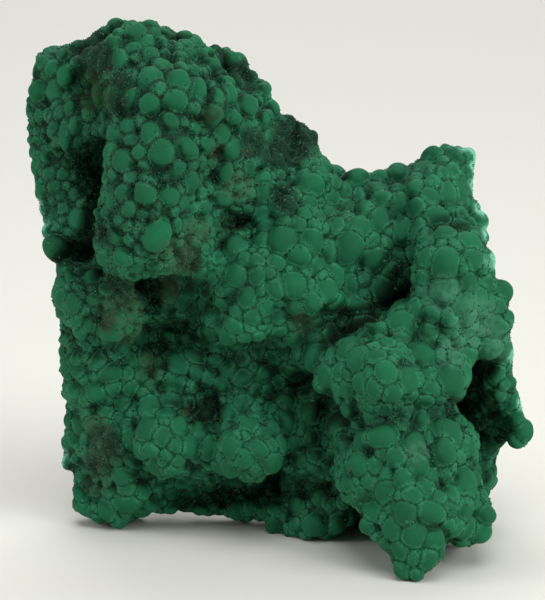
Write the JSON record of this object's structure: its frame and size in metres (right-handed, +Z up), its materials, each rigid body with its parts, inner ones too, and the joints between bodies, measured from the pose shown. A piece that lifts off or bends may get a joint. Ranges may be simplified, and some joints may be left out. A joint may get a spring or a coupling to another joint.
{
  "type": "malachite specimen",
  "caption": "Botryoidal malachite specimen: a thick leaning crust covered in rounded lobes, with a tall left tower, a right peak and a front foot, standing on its lower edge.",
  "frame": {"origin": "middle of the bounding box, at the floor that the specimen stands on", "axes": "+Z up, the botryoidal face towards -Y, +X to the right of a person who looks at that face"},
  "size_m": [0.1564, 0.093, 0.1539],
  "materials": {
    "malachite": "velvety matt botryoidal malachite"
  },
  "bodies": {
    "root": {"malachite": "malachite"}
  },
  "joints": []
}
